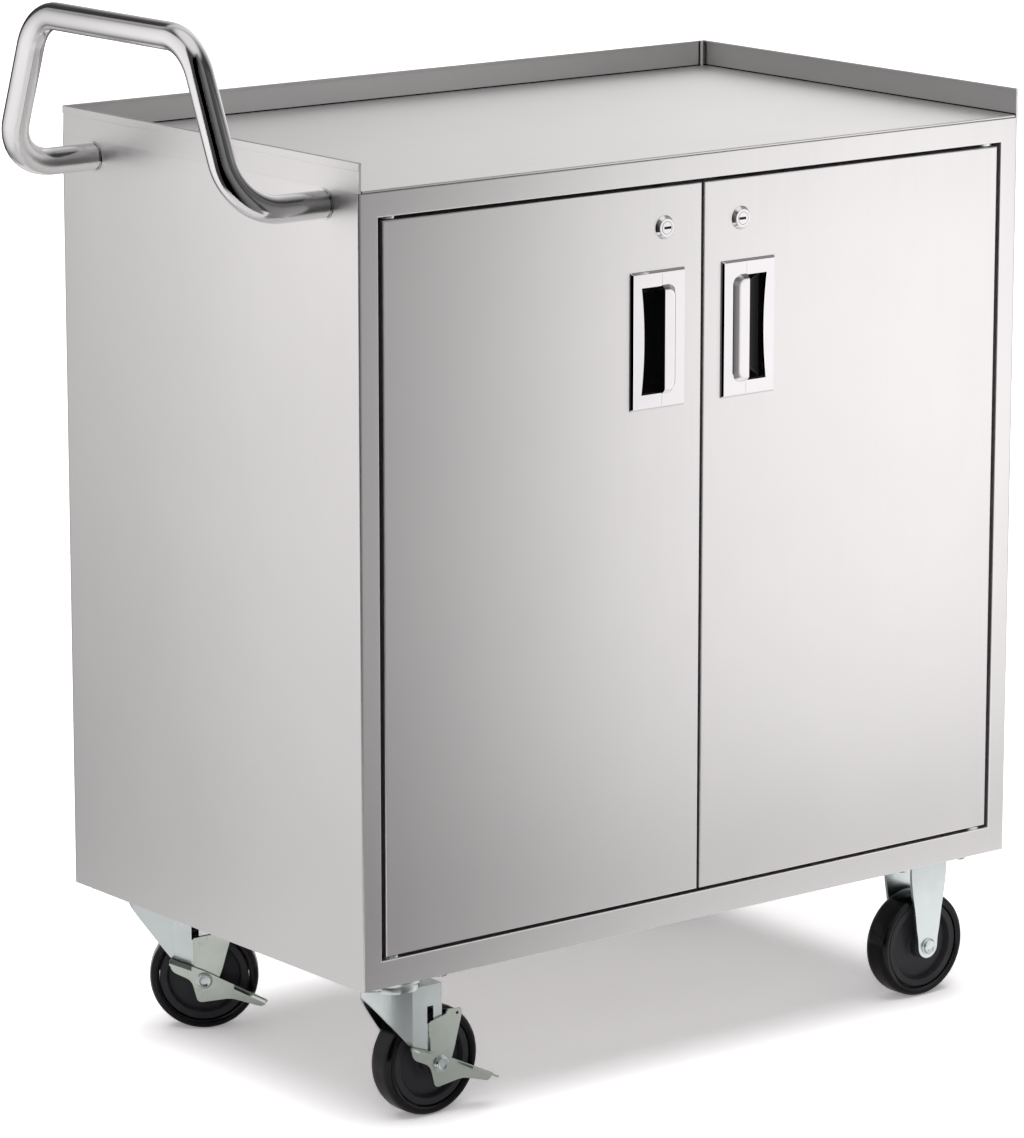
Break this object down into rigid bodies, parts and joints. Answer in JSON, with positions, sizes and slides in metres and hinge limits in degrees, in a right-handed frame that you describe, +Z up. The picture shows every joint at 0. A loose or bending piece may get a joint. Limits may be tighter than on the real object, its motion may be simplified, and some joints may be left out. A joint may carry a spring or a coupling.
{
  "type": "enclosed utility cart",
  "caption": "Enclosed utility cart: a sheet steel cabinet with two lockable doors, a lipped worktop, a bent push handle and casters.",
  "frame": {"origin": "middle of the overall box on the floor, below the cart", "axes": "+Z up, -Y out of the doors, +X along the front to the right, away from the push handle"},
  "size_m": [0.8849, 0.4676, 1.0046],
  "materials": {
    "satin_steel": "satin brushed stainless steel sheet",
    "polished_steel": "polished stainless steel tube",
    "chrome": "bright chrome plate",
    "zinc": "bright zinc plate with a faint blue tone",
    "yellow_zinc": "passivated zinc plate with a faint yellow tone",
    "tread_rubber": "smooth dark rubber",
    "grey_plastic": "moulded dark grey plastic",
    "black_plastic": "moulded black plastic"
  },
  "bodies": {
    "cart": {"worktop": "satin_steel", "left_side_panel": "satin_steel", "right_side_panel": "satin_steel", "back_panel": "satin_steel", "floor_panel": "satin_steel", "left_stile": "satin_steel", "right_stile": "satin_steel", "top_rail": "satin_steel", "bottom_rail": "satin_steel", "shelf": "satin_steel", "left_shelf_rail": "satin_steel", "right_shelf_rail": "satin_steel", "push_handle": "polished_steel", "front_handle_stud": "zinc", "back_handle_stud": "zinc", "left_caster_channel": "satin_steel", "right_caster_channel": "satin_steel", "door_catch": "black_plastic", "front_left_caster_plate": "zinc", "back_left_caster_plate": "zinc", "front_right_fork": "zinc", "back_right_fork": "zinc", "front_right_axle": "zinc", "back_right_axle": "zinc"},
    "left_door": {"left_door_skin": "satin_steel", "left_door_liner": "satin_steel", "left_pull_bezel": "chrome", "left_pull_cup": "black_plastic", "left_lock_barrel": "chrome", "left_upper_pivot_pin": "zinc", "left_lower_pivot_pin": "zinc"},
    "left_lock": {"left_lock_plug": "chrome", "left_lock_cam": "zinc"},
    "right_door": {"right_door_skin": "satin_steel", "right_door_liner": "satin_steel", "right_pull_bezel": "chrome", "right_pull_cup": "black_plastic", "right_lock_barrel": "chrome", "right_upper_pivot_pin": "zinc", "right_lower_pivot_pin": "zinc"},
    "right_lock": {"right_lock_plug": "chrome", "right_lock_cam": "zinc"},
    "front_left_swivel": {"front_left_yoke": "zinc", "front_left_kingpin": "zinc", "front_left_axle": "zinc", "front_left_brake_plate": "yellow_zinc"},
    "front_left_brake": {"front_left_brake_lever": "yellow_zinc"},
    "back_left_swivel": {"back_left_yoke": "zinc", "back_left_kingpin": "zinc", "back_left_axle": "zinc", "back_left_brake_plate": "yellow_zinc"},
    "back_left_brake": {"back_left_brake_lever": "yellow_zinc"},
    "front_left_wheel": {"front_left_wheel_tread": "tread_rubber", "front_left_wheel_core": "grey_plastic"},
    "back_left_wheel": {"back_left_wheel_tread": "tread_rubber", "back_left_wheel_core": "grey_plastic"},
    "front_right_wheel": {"front_right_wheel_tread": "tread_rubber", "front_right_wheel_core": "grey_plastic"},
    "back_right_wheel": {"back_right_wheel_tread": "tread_rubber", "back_right_wheel_core": "grey_plastic"}
  },
  "joints": [
    {"name": "left_door_pivot", "type": "hinge", "parent": "cart", "child": "left_door", "pos_m": [-0.2965, -0.21725, 0.504], "axis": [0, 0, -1], "range_deg": [0, 110]},
    {"name": "right_door_pivot", "type": "hinge", "parent": "cart", "child": "right_door", "pos_m": [0.4065, -0.21725, 0.504], "axis": [0, 0, 1], "range_deg": [0, 110]},
    {"name": "left_lock_turn", "type": "hinge", "parent": "left_door", "child": "left_lock", "pos_m": [0.01, -0.21725, 0.799], "axis": [0, 1, 0], "range_deg": [0, 90]},
    {"name": "right_lock_turn", "type": "hinge", "parent": "right_door", "child": "right_lock", "pos_m": [0.1, -0.21725, 0.799], "axis": [0, -1, 0], "range_deg": [0, 90]},
    {"name": "front_left_swivel_turn", "type": "hinge", "parent": "cart", "child": "front_left_swivel", "pos_m": [-0.2625, -0.17625, 0.13], "axis": [0, 0, 1], "continuous": true},
    {"name": "front_left_wheel_spin", "type": "hinge", "parent": "front_left_swivel", "child": "front_left_wheel", "pos_m": [-0.2275, -0.17625, 0.052], "axis": [0, 1, 0], "continuous": true},
    {"name": "front_left_brake_press", "type": "hinge", "parent": "front_left_swivel", "child": "front_left_brake", "pos_m": [-0.2275, -0.17625, 0.052], "axis": [0, 1, 0], "range_deg": [0, 20]},
    {"name": "back_left_swivel_turn", "type": "hinge", "parent": "cart", "child": "back_left_swivel", "pos_m": [-0.2625, 0.18375, 0.13], "axis": [0, 0, 1], "continuous": true},
    {"name": "back_left_wheel_spin", "type": "hinge", "parent": "back_left_swivel", "child": "back_left_wheel", "pos_m": [-0.23383, 0.16367, 0.052], "axis": [0.5736, 0.8192, 0], "continuous": true},
    {"name": "back_left_brake_press", "type": "hinge", "parent": "back_left_swivel", "child": "back_left_brake", "pos_m": [-0.23383, 0.16367, 0.052], "axis": [0.5736, 0.8192, 0], "range_deg": [0, 20]},
    {"name": "front_right_wheel_spin", "type": "hinge", "parent": "cart", "child": "front_right_wheel", "pos_m": [0.3725, -0.17625, 0.052], "axis": [0, 1, 0], "continuous": true},
    {"name": "back_right_wheel_spin", "type": "hinge", "parent": "cart", "child": "back_right_wheel", "pos_m": [0.3725, 0.18375, 0.052], "axis": [0, 1, 0], "continuous": true}
  ]
}
